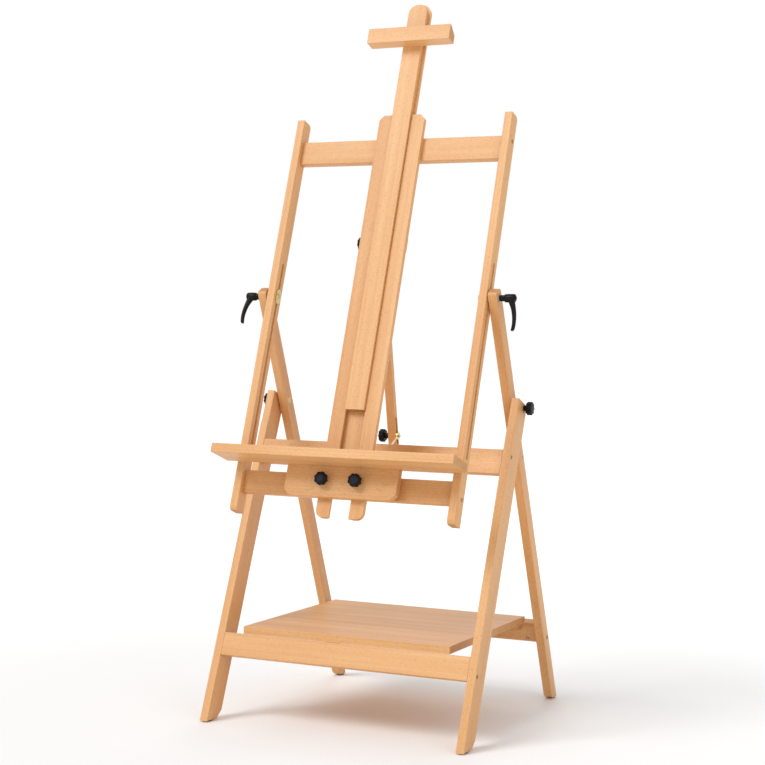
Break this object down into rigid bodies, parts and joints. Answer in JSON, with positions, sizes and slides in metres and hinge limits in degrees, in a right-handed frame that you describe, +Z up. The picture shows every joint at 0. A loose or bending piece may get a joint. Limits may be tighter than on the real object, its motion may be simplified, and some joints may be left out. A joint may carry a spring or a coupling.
{
  "type": "wooden artist easel",
  "caption": "Folding beech studio easel with a tilting, height-adjustable panel, sliding mast with canvas holder, adjustable tray and storage shelf",
  "frame": {"origin": "centre of the footprint on the floor", "axes": "+X across the easel to the right seen from the front, +Y to the back, +Z up"},
  "size_m": [0.7232, 0.7186, 1.7658],
  "materials": {
    "wood": "satin oiled beech",
    "steel": "zinc-plated steel",
    "brass": "yellow zinc plating",
    "black": "fine satin grain",
    "glide": "dull hard plastic"
  },
  "bodies": {
    "root": {"front_leg_left": "wood", "front_leg_right": "wood", "middle_crossbar": "wood", "lower_front_rail": "wood", "front_dowels": "wood", "front_joint_bolts": "steel", "leg_spacer_washers": "steel", "strut_bracket_screws": "steel", "strut_bracket": "brass", "front_foot_glides": "glide"},
    "rear_frame": {"rear_leg_left": "wood", "rear_leg_right": "wood", "lower_rear_rail": "wood", "rear_joint_bolts": "steel", "rear_dowels": "wood", "rear_foot_glides": "glide", "pivot_inserts": "brass", "clamp_side_washers": "steel", "shelf_ledger": "wood"},
    "shelf_board": {"shelf": "wood"},
    "pivot_clamp_left": {"pivot_knob_left": "black", "pivot_stud_left": "steel"},
    "pivot_clamp_right": {"pivot_knob_right": "black", "pivot_stud_right": "steel"},
    "lever_left": {"clamp_lever_left": "black"},
    "lever_right": {"clamp_lever_right": "black"},
    "tilt_pivot": {"clamp_studs": "steel", "clamp_inner_washers": "brass", "clamp_nuts": "brass"},
    "panel": {"panel_stile_left": "wood", "panel_stile_right": "wood", "panel_top_rail": "wood", "panel_lower_rail": "wood", "panel_joint_bolts": "steel", "panel_dowels": "wood", "guide_board_left": "wood", "guide_board_right": "wood", "channel_back": "wood", "strut_track": "wood", "mast_lock_blocks": "wood"},
    "mast_slide": {"mast": "wood", "top_canvas_holder": "wood", "top_holder_screws": "steel"},
    "tray_carriage": {"tray": "wood", "apron": "wood", "carriage_tongue": "wood", "carriage_screws": "steel", "apron_inserts": "brass"},
    "tray_clamp_left": {"tray_knob_left": "black", "tray_stud_left": "steel"},
    "tray_clamp_right": {"tray_knob_right": "black", "tray_stud_right": "steel"},
    "mast_lock": {"mast_lock_shaft": "steel", "mast_lock_knob": "black"},
    "strut_guide": {"strut_foot_bush": "black"},
    "strut": {"prop_strut": "wood", "strut_head_pin": "steel"},
    "strut_clamp": {"strut_knob": "black", "strut_knob_stud": "steel"},
    "slider": {"strut_slider": "wood"}
  },
  "joints": [
    {"name": "rear_fold", "type": "hinge", "parent": "root", "child": "rear_frame", "pos_m": [0, 0.00454, 0.76174], "axis": [1, 0, 0], "range_deg": [-40, 0]},
    {"name": "shelf_tip", "type": "hinge", "parent": "root", "child": "shelf_board", "pos_m": [0, -0.25961, 0.20595], "axis": [1, 0, 0], "range_deg": [0, 55.5]},
    {"name": "pivot_knob_turn_left", "type": "hinge", "parent": "root", "child": "pivot_clamp_left", "pos_m": [-0.35, 0.00454, 0.76174], "axis": [1, 0, 0], "continuous": true},
    {"name": "pivot_knob_turn_right", "type": "hinge", "parent": "root", "child": "pivot_clamp_right", "pos_m": [0.35, 0.00454, 0.76174], "axis": [1, 0, 0], "continuous": true},
    {"name": "lever_turn_left", "type": "hinge", "parent": "rear_frame", "child": "lever_left", "pos_m": [-0.34, -0.11052, 1.02138], "axis": [1, 0, 0], "continuous": true},
    {"name": "lever_turn_right", "type": "hinge", "parent": "rear_frame", "child": "lever_right", "pos_m": [0.34, -0.11052, 1.02138], "axis": [1, 0, 0], "continuous": true},
    {"name": "panel_tilt", "type": "hinge", "parent": "rear_frame", "child": "tilt_pivot", "pos_m": [0, -0.11052, 1.02138], "axis": [1, 0, 0], "range_deg": [-52, 16]},
    {"name": "panel_height", "type": "slide", "parent": "tilt_pivot", "child": "panel", "axis": [0, 0.314, 0.9494], "range_m": [-0.045, 0.37]},
    {"name": "mast_height", "type": "slide", "parent": "panel", "child": "mast_slide", "axis": [0, 0.314, 0.9494], "range_m": [-0.095, 0.3]},
    {"name": "tray_height", "type": "slide", "parent": "panel", "child": "tray_carriage", "axis": [0, 0.314, 0.9494], "range_m": [-0.04, 0.115]},
    {"name": "tray_knob_turn_left", "type": "hinge", "parent": "tray_carriage", "child": "tray_clamp_left", "pos_m": [-0.0435, -0.29316, 0.59096], "axis": [0, 0.9494, -0.314], "continuous": true},
    {"name": "tray_knob_turn_right", "type": "hinge", "parent": "tray_carriage", "child": "tray_clamp_right", "pos_m": [0.0435, -0.29316, 0.59096], "axis": [0, 0.9494, -0.314], "continuous": true},
    {"name": "mast_lock_turn", "type": "hinge", "parent": "panel", "child": "mast_lock", "pos_m": [0, -0.05446, 1.15346], "axis": [1, 0, 0], "range_deg": [0, 100]},
    {"name": "strut_slider_height", "type": "slide", "parent": "panel", "child": "slider", "axis": [0, 0.314, 0.9494], "range_m": [-0.3705, 0.0455]},
    {"name": "strut_swing", "type": "hinge", "parent": "root", "child": "strut_guide", "pos_m": [0, -0.00029, 0.68244], "axis": [1, 0, 0], "range_deg": [-31.8, 0]},
    {"name": "strut_reach", "type": "slide", "parent": "strut_guide", "child": "strut", "axis": [0, -0.2039, 0.979], "range_m": [-0.0347, 0.0108]},
    {"name": "strut_knob_turn", "type": "hinge", "parent": "root", "child": "strut_clamp", "pos_m": [-0.02, -0.00029, 0.68244], "axis": [1, 0, 0], "continuous": true}
  ],
  "couplings": [
    {"joint": "shelf_tip", "follows": "rear_fold", "ratio": -1.378},
    {"joint": "strut_swing", "follows": "rear_fold", "ratio": 0.788},
    {"joint": "strut_reach", "follows": "panel_tilt", "m_per_rad": 0.038},
    {"joint": "strut_slider_height", "follows": "panel_height", "ratio": -1}
  ]
}
